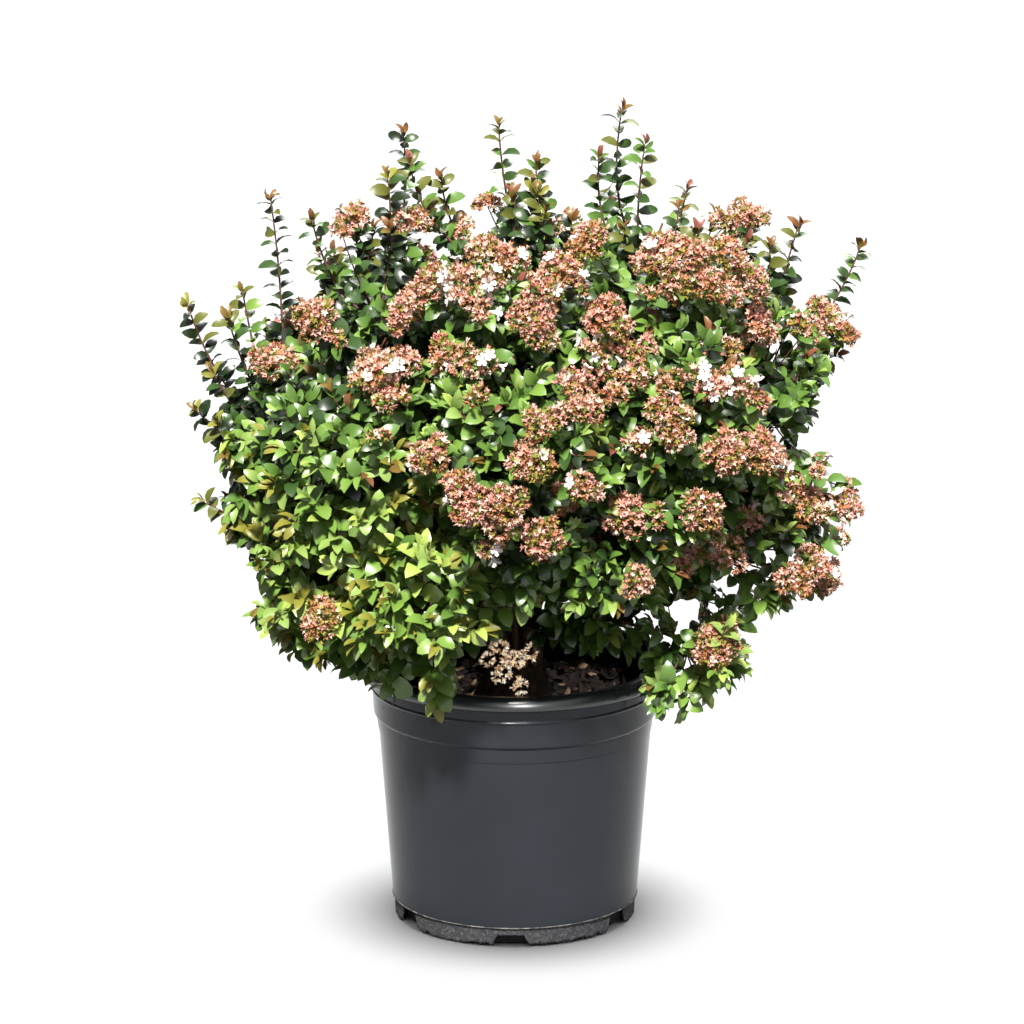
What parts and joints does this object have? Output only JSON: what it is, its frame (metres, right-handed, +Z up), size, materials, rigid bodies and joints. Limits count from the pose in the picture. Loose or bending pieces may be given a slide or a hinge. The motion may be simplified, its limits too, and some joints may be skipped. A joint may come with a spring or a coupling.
{
  "type": "potted glossy abelia shrub",
  "caption": "Bushy glossy abelia in flower, with many upright shoots, small glossy leaves and pink calyx clusters, growing in a black round nursery pot.",
  "frame": {"origin": "centre of the pot's flat underside, on the floor", "axes": "+Z up along the pot's axis; -Y is the front, the side the picture shows; +X is the viewer's right"},
  "size_m": [0.6401, 0.6231, 0.7424],
  "materials": {
    "pot_plastic": "smooth dark charcoal, semi-gloss",
    "potting_mix": "damp dark bark mix, matt",
    "bark": "thin tan-brown bark, matt",
    "foliage": "glossy green leaves with bronze and lime tips, pink blossom heads"
  },
  "bodies": {
    "root": {"pot": "pot_plastic", "potting_mix": "potting_mix", "root_crown": "bark", "cane_shoulder_1": "bark", "cane_shoulder_2": "bark", "cane_shoulder_3": "bark", "cane_shoulder_4": "bark", "cane_shoulder_5": "bark", "cane_shoulder_6": "bark", "cane_side_1": "bark", "cane_side_2": "bark", "cane_side_3": "bark", "cane_side_4": "bark", "cane_side_5": "bark", "cane_side_6": "bark", "cane_side_7": "bark", "cane_side_8": "bark", "cane_side_9": "bark", "cane_skirt_1": "bark", "cane_skirt_2": "bark", "cane_skirt_3": "bark", "cane_skirt_4": "bark", "cane_skirt_5": "bark", "cane_skirt_6": "bark", "cane_skirt_7": "bark", "cane_skirt_8": "bark", "cane_top_1": "bark", "cane_top_2": "bark", "cane_trailing_1": "bark", "foliage_shoulder_1": "foliage", "foliage_shoulder_2": "foliage", "foliage_shoulder_3": "foliage", "foliage_shoulder_4": "foliage", "foliage_shoulder_5": "foliage", "foliage_shoulder_6": "foliage", "foliage_side_1": "foliage", "foliage_side_2": "foliage", "foliage_side_3": "foliage", "foliage_side_4": "foliage", "foliage_side_5": "foliage", "foliage_side_6": "foliage", "foliage_side_7": "foliage", "foliage_side_8": "foliage", "foliage_side_9": "foliage", "foliage_skirt_1": "foliage", "foliage_skirt_2": "foliage", "foliage_skirt_3": "foliage", "foliage_skirt_4": "foliage", "foliage_skirt_5": "foliage", "foliage_skirt_6": "foliage", "foliage_skirt_7": "foliage", "foliage_skirt_8": "foliage", "foliage_top_1": "foliage", "foliage_top_2": "foliage", "foliage_trailing_1": "foliage"}
  },
  "joints": []
}
